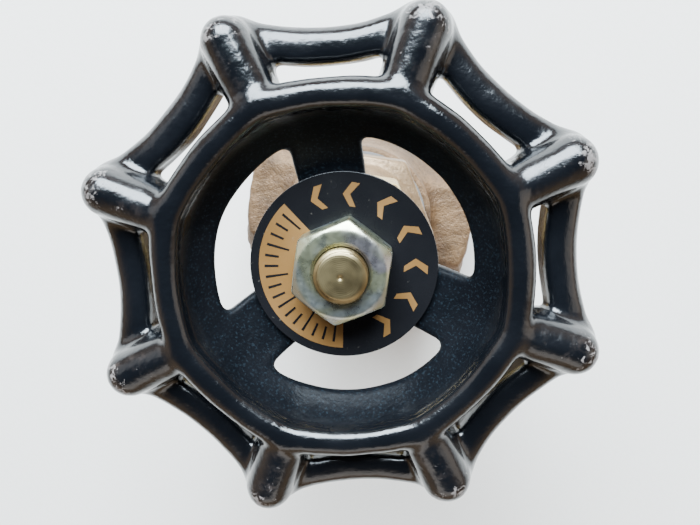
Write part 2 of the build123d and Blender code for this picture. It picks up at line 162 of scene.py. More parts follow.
def curve_distance(px, py, a, b, c):
    """Distance to a quadratic curve with end points a and c and control point b."""
    a, b, c = np.array(a), np.array(b), np.array(c)
    edge, bend = b - a, a - 2 * b + c
    dx, dy = a[0] - px, a[1] - py
    scale = 1 / bend.dot(bend)
    kx = scale * edge.dot(bend)
    ky = scale * (2 * edge.dot(edge) + dx * bend[0] + dy * bend[1]) / 3
    kz = scale * (dx * edge[0] + dy * edge[1])
    p = ky - kx * kx
    q = kx * (2 * kx * kx - 3 * ky) + kz
    h = q * q + 4 * p ** 3
    root = np.sqrt(np.maximum(h, 0))
    one = np.cbrt((root - q) / 2) + np.cbrt((-root - q) / 2) - kx
    z = np.sqrt(np.maximum(-p, TINY))
    angle = np.arccos(np.clip(q / np.minimum(p * z * 2, -TINY), -1, 1)) / 3
    m, n = np.cos(angle), np.sin(angle) * math.sqrt(3)
    two, three = (m + m) * z - kx, (-n - m) * z - kx

    def reach(t):
        t = np.clip(t, 0, 1)
        return np.hypot(dx + (2 * edge[0] + bend[0] * t) * t, dy + (2 * edge[1] + bend[1] * t) * t)

    return np.where(h >= 0, reach(one), np.minimum(reach(two), reach(three)))


THREAD_FLANK = 1.25          # steepness of the flanks; above 1 leaves flat crests and roots
THREAD_SLOPE = 0.75          # keeps the field's slope near 1 on the flanks


def thread(r, angle, along, crest, pitch, depth):
    """A right-hand male thread of that crest radius; its grooves are depth deep."""
    phase = (along / pitch - angle / FULL_TURN) % 1.0
    groove = np.clip(THREAD_FLANK - 2.5 * np.abs(phase - 0.5) * THREAD_FLANK, 0, 1)
    return (r - crest + depth * groove) * THREAD_SLOPE


# ---- surfaces from fields -------------------------------------------------------------------

CORNERS = [(i, j, k) for i in (0, 1) for j in (0, 1) for k in (0, 1)]
AROUND_EDGE = ((1, 1), (0, 1), (0, 0), (1, 0))


def surface_net(field, low, pitch):
    """Vertices and quads on the zero level of a sampled field."""
    nx, ny, nz = (n - 1 for n in field.shape)
    inside = field < 0
    count = np.zeros((nx, ny, nz), np.int8)
    for i, j, k in CORNERS:
        count += inside[i:i + nx, j:j + ny, k:k + nz]
    cells = np.argwhere((count > 0) & (count < len(CORNERS)))
    number = np.full((nx, ny, nz), -1, np.int64)
    number[tuple(cells.T)] = np.arange(len(cells))
    total = np.zeros((len(cells), 3))
    hits = np.zeros(len(cells))
    for start in CORNERS:
        for axis in range(3):
            if start[axis]:
                continue
            end = list(start)
            end[axis] = 1
            f0 = field[tuple((cells + start).T)]
            f1 = field[tuple((cells + end).T)]
            crossing = (f0 < 0) != (f1 < 0)
            t = np.where(crossing, f0 / np.where(crossing, f0 - f1, 1), 0)
            point = np.array(start, float) + np.zeros((len(cells), 3))
            point[:, axis] += t
            total += point * crossing[:, None]
            hits += crossing
    verts = (cells + total / hits[:, None]) * pitch + low
    quads = []
    for axis in range(3):
        one, two = (axis + 1) % 3, (axis + 2) % 3
        ahead = [slice(None)] * 3
        ahead[axis] = slice(1, None)
        behind = [slice(None)] * 3
        behind[axis] = slice(None, -1)
        change = inside[tuple(ahead)] != inside[tuple(behind)]
        edges = np.argwhere(change)
        edges = edges[(edges[:, one] > 0) & (edges[:, two] > 0)]
        edges = edges[(edges[:, one] < field.shape[one] - 1) & (edges[:, two] < field.shape[two] - 1)]
        around = []
        for d1, d2 in AROUND_EDGE:
            cell = edges.copy()
            cell[:, one] -= d1
            cell[:, two] -= d2
            around.append(number[tuple(cell.T)])
        face = np.stack(around, 1)
        leaving = inside[tuple(edges.T)]
        face[~leaving] = face[~leaving][:, ::-1]
        quads.append(face)
    return verts, np.concatenate(quads)


SETTLE_ROUNDS = 2
SETTLE_REACH = 0.01          # step used to measure the field's slope
SETTLE_LIMIT = 0.3           # longest move of a vertex in one round
LEAST_SLOPE = 0.2            # least square of the slope; it drops where fields meet in a crease


def settle(shape, verts):
    """Move the vertices onto the exact surface of the field."""
    for _ in range(SETTLE_ROUNDS):
        value = shape(*verts.T)
        slope = np.empty_like(verts)
        for axis in range(3):
            moved = verts.copy()
            moved[:, axis] += SETTLE_REACH
            slope[:, axis] = (shape(*moved.T) - value) / SETTLE_REACH
        length = np.maximum((slope ** 2).sum(1), LEAST_SLOPE)
        move = slope * (value / length)[:, None]
        verts = verts - np.clip(move, -SETTLE_LIMIT, SETTLE_LIMIT)
    return verts


def solid(name, shape, pitch, body, replaced, material):
    """One closed piece drawn from a field, which stands for a CAD node and stays in its box."""
    cad_low, cad_high = cad(replaced)
    low = cad_low - 2 * pitch
    axes = [np.arange(low[i], cad_high[i] + 2 * pitch, pitch) for i in range(3)]
    x, y, z = np.meshgrid(*axes, indexing="ij")
    verts, quads = surface_net(shape(x, y, z), low, pitch)
    verts = np.clip(settle(shape, verts), cad_low, cad_high)
    mesh = bpy.data.meshes.new(name)
    mesh.from_pydata((verts * MM).tolist(), [], quads.tolist())
    mesh.polygons.foreach_set("use_smooth", [True] * len(mesh.polygons))
    mesh.materials.append(material)
    piece = bpy.data.objects.new(name, mesh)
    bpy.context.scene.collection.objects.link(piece)
    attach(piece, body)
    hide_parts(replaced)
    return piece


# ---- handwheel ------------------------------------------------------------------------------

# heights are above the top of the hub, where the plate lies

LOBES = 8
LOBE_ANGLE = math.radians(35.0)
SPOKES = 3
SPOKE_ANGLE = math.radians(107.0)

WEB_REACH = 11.2             # the flat web ends here and the bowl begins
WEB_HEIGHT = -1.9
BOWL_BEND = (17.3, -0.9)     # control point of the bowl's section
SHELL_HALF = 1.4             # half the thickness of web and bowl
OCTAGON_SHARE = 0.42         # how eight-sided the dish is at its crest
OCTAGON_CORNER = 0.05        # softness of the octagon's corners, in radians
CREST_RADIUS = 20.45
CREST_HEIGHT = 6.05
CREST_INSET = 0.15
CREST_LONG = 1.75            # half axes of the crest bead's section, which leans 30 degrees
CREST_SHORT = 1.35
LEAN_COS, LEAN_SIN = 0.87, 0.5
HUB_RADIUS = 6.3
HUB_DRAFT = 0.03
HUB_DEPTH = 9.0
HUB_RELIEF = 0.1
HUB_FILLET = 2.4
SQUARE_HALF = 3.25           # the hub's square hole, with its corners cut round
SQUARE_CORNER = 4.0

WINDOW_OUTER = 16.25
WINDOW_INNER = 8.2
WINDOW_DRAFT = 0.5
SPOKE_HALF = 4.1             # half width of a spoke at its waist; it widens outwards
SPOKE_WAIST = 11
SPOKE_FLARE = 0.05

TIP = 31.7
NOSE = 4.2
VALLEY = 27.8
BAND = 4.15
BAND_LOW = -2.35
BAND_HIGH = 2.9
CROWN_INSET = 2.7            # from here to its outer edge the band's top falls away
CROWN_FALL = 0.11
CROWN_LIFT = 0.1

FINGER_TOP = 7.3
FINGER_HALF = 2.55           # half width at the top of the ridge
FINGER_DRAFT = 0.13
FINGER_FALL = 0.055          # fall of the ridge towards its tip
FINGER_ROUND = 3.2
FINGER_INSET = 0.2           # where a finger starts on the crest
FINGER_WALL = 2.0            # thickness left by the hollow underneath
FINGER_ROOF = 2.6
UNDERSIDE_START = 0.6        # the finger's underside slopes down from the crest to the band
UNDERSIDE_HEIGHT = 2.4
UNDERSIDE_SLOPE = 0.78


def scallop(u, v):
    """Plan distance to the lobed outline; u runs out along the nearest lobe, v across it."""
    half = math.pi / LOBES
    nose_at = TIP - NOSE
    reach = VALLEY - NOSE
    hollow_at = (nose_at ** 2 - reach ** 2) / (2 * (nose_at * math.cos(half) - reach))
    hx, hy = hollow_at * math.cos(half), hollow_at * math.sin(half)
    v = np.abs(v)
    nose = np.hypot(u - nose_at, v) - NOSE
    hollow = hollow_at - VALLEY - np.hypot(u - hx, v - hy)
    tipward = (hx - nose_at) * v - hy * (u - nose_at) < 0
    return np.where(tipward, nose, hollow)


def dish_shape(r, h, t):
    """Web, bowl and crest bead; towards the rim the dish turns slightly eight-sided."""
    flat_side = r * np.cos(math.pi / LOBES - np.sqrt(t * t + OCTAGON_CORNER ** 2))
    dish_r = r - OCTAGON_SHARE * step_up(r, 13, 19) * (r - flat_side)
    bowl = curve_distance(dish_r, h, (WEB_REACH, WEB_HEIGHT), BOWL_BEND, (CREST_RADIUS, CREST_HEIGHT))
    bowl = bowl - SHELL_HALF
    web = np.hypot(np.maximum(dish_r - WEB_REACH, 0), h - WEB_HEIGHT) - SHELL_HALF
    out, rise = dish_r - CREST_RADIUS + CREST_INSET, h - CREST_HEIGHT
    along = LEAN_COS * out - LEAN_SIN * rise
    across = LEAN_SIN * out + LEAN_COS * rise
    crest = (np.hypot(along / CREST_LONG, across / CREST_SHORT) - 1) * CREST_SHORT
    return smooth_min(smooth_min(bowl, web, 0.6), crest, 0.5)


def window_shape(r, h, angle):
    """The openings between the spokes."""
    spoke = fold(angle, SPOKE_ANGLE, SPOKES)
    side = SPOKE_HALF - np.abs(r * np.sin(spoke)) + SPOKE_FLARE * (r - SPOKE_WAIST)
    outer_wall = r - WINDOW_OUTER + WINDOW_DRAFT * h
    return smooth_max(smooth_max(outer_wall, WINDOW_INNER - r, 1.2), side, 1.6)


def rim_shape(u, v, h):
    """The outer band and the drafted fingers, which are open underneath."""
    outline = scallop(u, v)
    crown = h - BAND_HIGH - CROWN_LIFT + CROWN_FALL * np.maximum(outline + CROWN_INSET, 0) ** 2
    band = smooth_max(np.abs(outline + BAND / 2) - BAND / 2, np.maximum(crown, BAND_LOW - h), 1.4)
    drop = np.clip(FINGER_TOP - h, 0, 5)
    width = FINGER_HALF + FINGER_DRAFT * drop
    beyond = np.maximum(u - (TIP - width), 0)
    plan = np.hypot(beyond, v) - width
    top = FINGER_TOP - FINGER_FALL * (u - CREST_RADIUS)
    finger = smooth_max(plan, h - top, FINGER_ROUND)
    finger = smooth_max(finger, CREST_RADIUS + FINGER_INSET - u, 1.2)
    underside = UNDERSIDE_HEIGHT - UNDERSIDE_SLOPE * (u - CREST_RADIUS - UNDERSIDE_START)
    finger = smooth_max(finger, np.maximum(underside, BAND_LOW) - h, 1.0)
    rim = smooth_min(band, finger, 1.3)
    hollow = smooth_max(plan + FINGER_WALL, h - top + FINGER_ROOF, 1.0)
    return smooth_max(rim, -hollow, 0.8)


def wheel_shape(x, y, z):
    """The whole handwheel casting."""
    h = z - HUB_TOP
    r = np.hypot(x, y)
    angle = np.arctan2(y, x)
    t = fold(angle, LOBE_ANGLE, LOBES)
    hub = smooth_max(r - HUB_RADIUS + HUB_DRAFT * h, slab(h, -HUB_DEPTH, -HUB_RELIEF), 0.9)
    dish = smooth_min(dish_shape(r, h, t), hub, HUB_FILLET)
    dish = smooth_max(dish, -window_shape(r, h, angle), 0.8)
    wheel = smooth_min(dish, rim_shape(r * np.cos(t), r * np.sin(t), h), 0.9)
    square = np.maximum(prism(x, y, SQUARE_HALF), r - SQUARE_CORNER)
    wheel = np.maximum(wheel, -square)
    lumps = 0.07 * waves(x, y, z, size=6.0, seed=11)
    return wheel + lumps + 0.03 * waves(x, y, z, size=2.2, seed=12)


# ---- wheel nut and stem ---------------------------------------------------------------------

NUT_TURN = math.radians(31)
NUT_AF = 11.11
NUT_BORE = 3.24
NUT_SINK = 3.55              # radius of the countersink at the nut's face
NUT_CHAMFER = 0.40
NUT_BASE_CHAMFER = 0.1


def wheel_nut_shape(x, y, z):
    """Cold-formed hexagon nut with a round chamfer and a countersunk thread."""
    low, high = NUT_LOW[2], NUT_HIGH[2]
    a, b = turn(x, y, NUT_TURN)
    r = np.hypot(x, y)
    nut = smooth_max(hexagon(a, b, NUT_AF - 2 * FACE_GAP, 0.3), slab(z, low, high), 0.25)
    nut = smooth_max(nut, cone(r, z, NUT_AF / 2 - NUT_CHAMFER, high), 0.15)
    nut = smooth_max(nut, cone(r, -z, NUT_AF / 2 + NUT_BASE_CHAMFER, -low), 0.2)
    hole = np.minimum(r - NUT_BORE, countersink(r, z, NUT_SINK, high))
    return smooth_max(nut, -hole, 0.15)


# heights of the stem are above its foot, up to the wheel's hub
FOOT_RADIUS = 4.28
FOOT_HEIGHT = 1.9
STEM_NECK_RADIUS = 2.88
LIFT_CREST = 4.38            # the thread that lifts the stem
LIFT_PITCH = 2.0
LIFT_DEPTH = 0.75
LIFT_FROM = 6.0
LIFT_TO = 21.4
STEM_NECK_TO = 7
SHANK_RADIUS = 3.93
STEM_SQUARE_HALF = 3.18
END_CREST = 3.17             # the thread that carries the wheel nut
END_PITCH = 1.27
END_DEPTH = 0.55
END_CHAMFER = 2.62
CENTRE_MARK = 0.35


def stem_shape(x, y, z):
    """Stem from its foot to its threaded end."""
    r = np.hypot(x, y)
    angle = np.arctan2(y, x)
    foot_z, top = STEM_LOW[2], STEM_HIGH[2]
    hub_bottom = HUB_TOP - HUB_DEPTH
    foot = smooth_max(r - FOOT_RADIUS, slab(z, foot_z + FACE_GAP, foot_z + FOOT_HEIGHT), 0.8)
    neck = np.maximum(r - STEM_NECK_RADIUS, slab(z, foot_z + 1, foot_z + STEM_NECK_TO))
    screw = thread(r, angle, z, LIFT_CREST, LIFT_PITCH, LIFT_DEPTH)
    screw = smooth_max(screw, slab(z, foot_z + LIFT_FROM, foot_z + LIFT_TO), 0.3)
    shank = smooth_max(r - SHANK_RADIUS, slab(z, foot_z + 20, hub_bottom), 0.15)
    square = np.maximum(prism(x, y, STEM_SQUARE_HALF), slab(z, hub_bottom - 1, HUB_TOP - 0.3))
    square = np.maximum(square, r - SHANK_RADIUS)
    end = thread(r, angle, z, END_CREST, END_PITCH, END_DEPTH)
    end = smooth_max(end, cone(r, z, END_CHAMFER, top) * 1.1, 0.12)
    end = smooth_max(end, slab(z, HUB_TOP - 1, top - FACE_GAP), 0.2)
    centre_mark = (r - CENTRE_MARK) * 0.6 + (top - z) * 0.8
    end = smooth_max(end, -centre_mark, 0.1)
    stem = np.minimum(np.minimum(foot, neck), np.minimum(screw, shank))
    return np.minimum(stem, np.minimum(square, end))


# ---- body, bonnet and packing nut -----------------------------------------------------------

# heights of the body are above the run's axis

HALF_RUN = BODY_HIGH[0]
END_LENGTH = 13.0
END_CHAMFER_FRONT = 0.2
END_CHAMFER_BACK = 0.6
BARREL_RADIUS = 11.6
GLOBE_RADIUS = 15.95
GLOBE_RISE = 3.0
NECK_RADIUS = 13.4
FLASH_HEIGHT = 0.16          # ridge left by the mould's parting line
FLASH_WIDTH = 0.35
ARROW_RISE = 4.5
ARROW_RELIEF = 0.6
PORT = 9.3
PORT_DEPTH = 11.0
PORT_EASE = 0.15
PORT_MOUTH = 1.5             # the countersink is this much wider than the port
PIPE_PITCH = 1.814
PIPE_RIDGE = 0.55
PIPE_TAPER = 0.031
WATERWAY = 8.2
CHAMBER_RADIUS = 13.0
BONNET_BORE = 10.45
BONNET_BORE_FROM = 8
BRIDGE_LOW = -1.0
BRIDGE_HIGH = 2.0
WALL_NEAR = 8.0              # the bridge's two upright walls, measured along the run
WALL_FAR = 10.5
WALL_REACH = 12.0
SEAT_RADIUS = 8.0
SEAT_HIGH = 2.5
SEAT_BORE = 6.25


ARROW_TAIL = -7.0
ARROW_TIP = 7.2
SHAFT_END = 2.5
SHAFT_HALF = 1.1
HEAD_START = 1.5
HEAD_COS, HEAD_SIN = 0.58, 0.81


def flow_arrow(a, b):
    """Plan distance to a plain arrow that points along +a."""
    shaft = np.maximum(slab(a, ARROW_TAIL, SHAFT_END), np.abs(b) - SHAFT_HALF)
    head = np.maximum(HEAD_START - a, (a - ARROW_TIP) * HEAD_COS + np.abs(b) * HEAD_SIN)
    return np.minimum(shaft, head)


def body_casting_shape(x, y, z, h):
    """Outside of the body: hexagon ends, barrel, globe and neck, with flash and arrows."""
    far = np.abs(x)
    run_r = np.hypot(y, h)
    stem_r = np.hypot(x, y)
    length = slab(far, HALF_RUN - END_LENGTH, HALF_RUN - FACE_GAP)
    end = smooth_max(hexagon(y, h, END_AF - FACE_GAP, 0.8), length, 0.7)
    end = smooth_max(end, cone(run_r, far, END_AF / 2 - END_CHAMFER_FRONT, HALF_RUN), 0.8)
    end = smooth_max(end, cone(run_r, -far, END_AF / 2 + END_CHAMFER_BACK, END_LENGTH - HALF_RUN), 0.6)
    barrel = np.maximum(run_r - BARREL_RADIUS, far - HALF_RUN + END_LENGTH / 2)
    globe = np.sqrt(stem_r ** 2 + (h - GLOBE_RISE) ** 2) - GLOBE_RADIUS
    neck = smooth_max(stem_r - NECK_RADIUS, slab(z, RUN_Z, GASKET_LOW[2]), 0.8)
    casting = smooth_min(smooth_min(barrel, globe, 3.0), end, 2.2)
    casting = smooth_min(casting, neck, 3.5)
    casting = smooth_max(casting, -z, 0.6)
    flash = FLASH_HEIGHT * np.exp(-(y / FLASH_WIDTH) ** 2) * (1 - step_up(h, 8, 14))
    casting = casting - flash * step_up(-h, -30, 2)
    arrow = flow_arrow(x, h - ARROW_RISE)
    return casting - ARROW_RELIEF * (1 - step_up(arrow, -0.3, 0.4)) * step_up(np.abs(y), 9, 11)


def port_shape(x, y, h):
    """The two threaded pipe ports with their countersunk mouths."""
    far = np.abs(x)
    run_r = np.hypot(y, h)
    angle = np.arctan2(h, y) * np.sign(x)
    phase = (far / PIPE_PITCH - angle / FULL_TURN) % 1.0
    ridge = PIPE_RIDGE * (1 - np.abs(phase - 0.5) * 2)
    taper = PIPE_TAPER * (far - HALF_RUN + 6)
    port = np.maximum(run_r - PORT - PORT_EASE - ridge - taper, HALF_RUN - PORT_DEPTH - far)
    mouth = (run_r - PORT - PORT_MOUTH) * COS_45 - (far - HALF_RUN) * COS_45
    return np.minimum(port, mouth)


def seat_bridge(x, y, h, chamber):
    """The wall between inlet and outlet, with the seat on it."""
    stem_r = np.hypot(x, y)
    bridge = np.maximum(np.abs(x) - WALL_FAR, slab(h, BRIDGE_LOW, BRIDGE_HIGH))
    inlet_wall = np.maximum(slab(x, -WALL_FAR, -WALL_NEAR), slab(h, BRIDGE_LOW, WALL_REACH))
    outlet_wall = np.maximum(slab(x, WALL_NEAR, WALL_FAR), slab(h, -WALL_REACH, BRIDGE_HIGH))
    seat = np.maximum(stem_r - SEAT_RADIUS, slab(h, BRIDGE_LOW, SEAT_HIGH))
    bridge = np.minimum(np.minimum(bridge, inlet_wall), np.minimum(outlet_wall, seat))
    return np.maximum(bridge, chamber - 1.5)


def body_shape(x, y, z):
    """The body casting with its two hexagon ends, their pipe threads and the seat."""
    h = z - RUN_Z
    stem_r = np.hypot(x, y)
    waterway = np.hypot(y, h) - WATERWAY
    chamber = np.sqrt(stem_r ** 2 + (h - GLOBE_RISE) ** 2) - CHAMBER_RADIUS
    bonnet_bore = np.maximum(stem_r - BONNET_BORE, BONNET_BORE_FROM - h)
    hollow = np.minimum(np.minimum(port_shape(x, y, h), waterway), np.minimum(chamber, bonnet_bore))
    casting = smooth_max(body_casting_shape(x, y, z, h), -hollow, 0.35)
    casting = smooth_min(casting, seat_bridge(x, y, h, chamber), 0.8)
    casting = smooth_max(casting, -np.maximum(stem_r - SEAT_BORE, np.abs(h) - 4), 0.2)
    skin = step_up(hollow, 0.2, 1.0)
    lumps = 0.10 * waves(x, y, z, size=5.0, seed=21)
    lumps = lumps + 0.08 * waves(x, y, z, size=1.7, seed=22) * step_up(np.abs(x), 7, 10)
    return casting + skin * lumps


BONNET_AF = 24.0
BONNET_HEX_HEIGHT = 8
BONNET_CHAMFER = 11.9        # radius where the hexagon's top chamfer starts
COLLAR_RADIUS = 9.0
COLLAR_FLARE = 1.6           # the collar is this much wider at its foot
COLLAR_TOP = 36.0
COLLAR_HEIGHT = 4.2
CAP_THREAD_CREST = 7.88      # the thread that carries the packing nut
CAP_THREAD_PITCH = 1.27
CAP_THREAD_DEPTH = 0.5
SPIGOT_RADIUS = 10.38
STEM_THREAD_BORE = 6.7
STEM_BORE = 4.45
STUFFING_BORE = 5.6
STUFFING_FLOOR = 35.5


def bonnet_shape(x, y, z):
    """Bonnet with its hexagon, collar and packing-nut thread."""
    h = z - RUN_Z
    r = np.hypot(x, y)
    angle = np.arctan2(y, x)
    seat, top = GASKET_HIGH[2], BONNET_HIGH[2]
    hex_top = seat + BONNET_HEX_HEIGHT
    head = smooth_max(hexagon(x, y, BONNET_AF - 2 * FACE_GAP, 0.7), slab(z, seat, hex_top), 0.5)
    head = smooth_max(head, cone(r, z, BONNET_CHAMFER, hex_top), 0.5)
    flare = COLLAR_FLARE * np.clip((COLLAR_TOP - h) / COLLAR_HEIGHT, 0, 1)
    collar = np.maximum(r - COLLAR_RADIUS - flare, slab(h, 28, COLLAR_TOP))
    outside = smooth_min(head, smooth_max(collar, h - COLLAR_TOP, 0.6), 1.0)
    screw = thread(r, angle, z, CAP_THREAD_CREST, CAP_THREAD_PITCH, CAP_THREAD_DEPTH)
    screw = smooth_max(screw, slab(z, seat + 7, top - FACE_GAP), 0.3)
    spigot = np.maximum(r - SPIGOT_RADIUS, slab(z, BONNET_LOW[2] + FACE_GAP, seat + 1))
    outside = np.minimum(np.minimum(outside, screw), spigot)
    stuffing = np.maximum(r - STUFFING_BORE, STUFFING_FLOOR - h)
    bore = np.minimum(np.maximum(r - STEM_THREAD_BORE, h - 22), np.minimum(r - STEM_BORE, stuffing))
    skin = step_up(r, 8.4, 8.8) * (1 - step_up(r, 11.0, 11.6)) * step_up(h, 31.5, 32.5)
    return np.maximum(outside, -bore) + skin * 0.05 * waves(x, y, z, size=2.5, seed=31)


CAP_AF = 19.0
CAP_TOP_CHAMFER = 9.2        # radii where the chamfers start
CAP_FOOT_CHAMFER = 9.4
CAP_BORE = 7.95
CAP_ROOF = 3.0
CAP_STEM_BORE = 4.03
CAP_SINK = 4.5


def packing_nut_shape(x, y, z):
    """Turned hexagon cap nut."""
    low, high = PACKING_NUT_LOW[2], PACKING_NUT_HIGH[2]
    r = np.hypot(x, y)
    nut = smooth_max(hexagon(x, y, CAP_AF - 2 * FACE_GAP, 0.45), slab(z, low, high), 0.3)
    nut = smooth_max(nut, cone(r, z, CAP_TOP_CHAMFER, high), 0.35)
    nut = smooth_max(nut, cone(r, -z, CAP_FOOT_CHAMFER, -low), 0.35)
    hole = np.minimum(np.maximum(r - CAP_BORE, z - high + CAP_ROOF), r - CAP_STEM_BORE)
    hole = np.minimum(hole, countersink(r, z, CAP_SINK, high))
    return smooth_max(nut, -hole, 0.2)


# ---- identification plate -------------------------------------------------------------------

def disc_piece(name, outline, bottom, top, material, body, bevel=0.0):
    """A flat layer of the plate, from loops of (x, y) points; a loop inside another is a hole."""
    curve = bpy.data.curves.new(name, "CURVE")
    curve.dimensions = "2D"
    curve.fill_mode = "BOTH"
    for loop in outline:
        spline = curve.splines.new("POLY")
        spline.points.add(len(loop) - 1)
        for point, (px, py) in zip(spline.points, loop):
            point.co = (px * MM, py * MM, 0, 1)
        spline.use_cyclic_u = True
    curve.extrude = (top - bottom) / 2 * MM - bevel * MM
    curve.bevel_depth = bevel * MM
    curve.bevel_resolution = 2
    curve.offset = -bevel * MM
    holder = bpy.data.objects.new(name + "_curve", curve)
    bpy.context.scene.collection.objects.link(holder)
    bpy.context.view_layer.update()
    mesh = bpy.data.meshes.new_from_object(holder.evaluated_get(bpy.context.evaluated_depsgraph_get()))
    bpy.data.objects.remove(holder)
    mesh.name = name
    mesh.transform(Matrix.Translation((0, 0, (top + bottom) / 2 * MM)))
    mesh.materials.clear()
    mesh.materials.append(material)
    piece = bpy.data.objects.new(name, mesh)
    bpy.context.scene.collection.objects.link(piece)
    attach(piece, body)
    return piece


def circle(radius, count=160, start=0.0, end=360.0):
    """Points on an arc about the stem, angles in degrees from +X."""
    closed = end - start >= 360
    angles = np.radians(np.linspace(start, end, count, endpoint=not closed))
    return [(radius * math.cos(a), radius * math.sin(a)) for a in angles]


POINTS_PER_DEGREE = 0.8


def sector(inner, outer, start, end):
    """Outline of a piece of a ring."""
    count = max(4, int((end - start) * POINTS_PER_DEGREE))
    return circle(outer, count, start, end) + circle(inner, count, start, end)[::-1]


# corners of an arrowhead, in sizes along and across its direction
ARROWHEAD = ((-0.5, 1), (0.1, 1), (0.75, 0), (0.1, -1), (-0.5, -1), (0.15, 0))


def chevron(radius, angle, size):
    """Outline of a small arrowhead that points anticlockwise round the plate."""
    points = []
    for along, across in ARROWHEAD:
        a = math.radians(angle) + along * size / radius
        reach = radius + across * size
        points.append((reach * math.cos(a), reach * math.sin(a)))
    return points


# ---- materials ------------------------------------------------------------------------------

def colour_socket(sockets, name):
    """The colour socket of that name on a mix node, which has one for every data type."""
    return [s for s in sockets if s.name == name and s.type == "RGBA"][0]


class Paint:
    """Short way to write a node material."""

    def __init__(self, name):
        self.material = bpy.data.materials.new(name)
        self.material.use_nodes = True
        self.tree = self.material.node_tree
        self.shader = self.tree.nodes["Principled BSDF"]
        self.coords = self.tree.nodes.new("ShaderNodeTexCoord").outputs["Object"]

    def set(self, **values):
        """Constants on the shader's own sockets."""
        for name, value in values.items():
            self.shader.inputs[name.replace("_", " ")].default_value = value

    def noise(self, scale, detail=3.0, roughness=0.5, stretch=None, distortion=0.0):
        """Noise between 0 and 1; scale is bumps per metre."""
        node = self.tree.nodes.new("ShaderNodeTexNoise")
        node.inputs["Scale"].default_value = scale
        node.inputs["Detail"].default_value = detail
        node.inputs["Roughness"].default_value = roughness
        node.inputs["Distortion"].default_value = distortion
        source = self.coords
        if stretch:
            mapping = self.tree.nodes.new("ShaderNodeMapping")
            mapping.inputs["Scale"].default_value = stretch
            self.tree.links.new(source, mapping.inputs["Vector"])
            source = mapping.outputs["Vector"]
        self.tree.links.new(source, node.inputs["Vector"])
        return node.outputs["Fac"]

    def ramp(self, value, low, high, out_low=0.0, out_high=1.0):
        """Smooth step from out_low to out_high as the value goes from low to high."""
        node = self.tree.nodes.new("ShaderNodeMapRange")
        node.interpolation_type = "SMOOTHSTEP"
        limits = {"From Min": low, "From Max": high, "To Min": out_low, "To Max": out_high}
        for name, number in limits.items():
            node.inputs[name].default_value = number
        self.tree.links.new(value, node.inputs["Value"])
        return node.outputs["Result"]

    def math(self, kind, a, b=0.0, c=0.0):
        """One sum on numbers or sockets."""
        node = self.tree.nodes.new("ShaderNodeMath")
        node.operation = kind
        for socket, value in zip(node.inputs, (a, b, c)):
            if isinstance(value, (int, float)):
                socket.default_value = value
            else:
                self.tree.links.new(value, socket)
        return node.outputs["Value"]

    def mix(self, factor, a, b):
        """Colour a where the factor is 0 and b where it is 1."""
        node = self.tree.nodes.new("ShaderNodeMix")
        node.data_type = "RGBA"
        self.link(factor, node.inputs["Factor"])
        for name, value in (("A", a), ("B", b)):
            socket = colour_socket(node.inputs, name)
            if isinstance(value, tuple):
                socket.default_value = (*value, 1.0)
            else:
                self.tree.links.new(value, socket)
        return colour_socket(node.outputs, "Result")

    def link(self, value, socket):
        """Feed a socket from a number or another socket."""
        if isinstance(value, (int, float)):
            socket.default_value = value
        else:
            self.tree.links.new(value, socket)

    def attribute(self, name):
        """A value stored on the mesh's points."""
        node = self.tree.nodes.new("ShaderNodeAttribute")
        node.attribute_name = name
        return node.outputs["Fac"]

    def axis(self, letter):
        """One of the object's own coordinates."""
        node = self.tree.nodes.new("ShaderNodeSeparateXYZ")
        self.tree.links.new(self.coords, node.inputs["Vector"])
        return node.outputs[letter]

    def bump(self, *layers):
        """Stack bumps; each layer is (height, distance in metres, strength)."""
        last = None
        for height, distance, strength in layers:
            node = self.tree.nodes.new("ShaderNodeBump")
            node.inputs["Distance"].default_value = distance
            node.inputs["Strength"].default_value = strength
            self.tree.links.new(height, node.inputs["Height"])
            if last:
                self.tree.links.new(last, node.inputs["Normal"])
            last = node.outputs["Normal"]
        self.tree.links.new(last, self.shader.inputs["Normal"])

    def colour(self, value):
        """Colour of the surface."""
        self.tree.links.new(value, self.shader.inputs["Base Color"])

    def rough(self, value):
        """Roughness of the surface."""
        self.tree.links.new(value, self.shader.inputs["Roughness"])


# colours, as linear red, green and blue
ENAMEL_DEEP = (0.0018, 0.0022, 0.0030)
ENAMEL_THIN = (0.0040, 0.0048, 0.0065)
# dust in the bowl, its blue-grey tint partly a painted sheen of the cool light
BOWL_DUST_AND_SHEEN = (0.014, 0.022, 0.029)
RUBBED_ENAMEL = (0.048, 0.037, 0.033)
BARE_IRON_DARK = (0.07, 0.060, 0.058)
BARE_IRON_LIGHT = (0.26, 0.23, 0.215)
BRONZE_TARNISH = (0.15, 0.085, 0.05)
BRONZE_PIT = (0.07, 0.045, 0.03)
ZINC_BLUE = (0.40, 0.44, 0.43)
ZINC_YELLOW = (0.43, 0.45, 0.30)
ZINC_VIOLET = (0.37, 0.35, 0.37)
ZINC_SPECK = (0.30, 0.30, 0.25)
LACQUER_DARK = (0.004, 0.004, 0.005)
LACQUER_RUBBED = (0.009, 0.009, 0.010)
LACQUER_SPECK = (0.13, 0.12, 0.10)
PRINT_DARK = (0.20, 0.098, 0.026)
PRINT_LIGHT = (0.26, 0.135, 0.042)
PRINT_SPECK = (0.25, 0.17, 0.10)


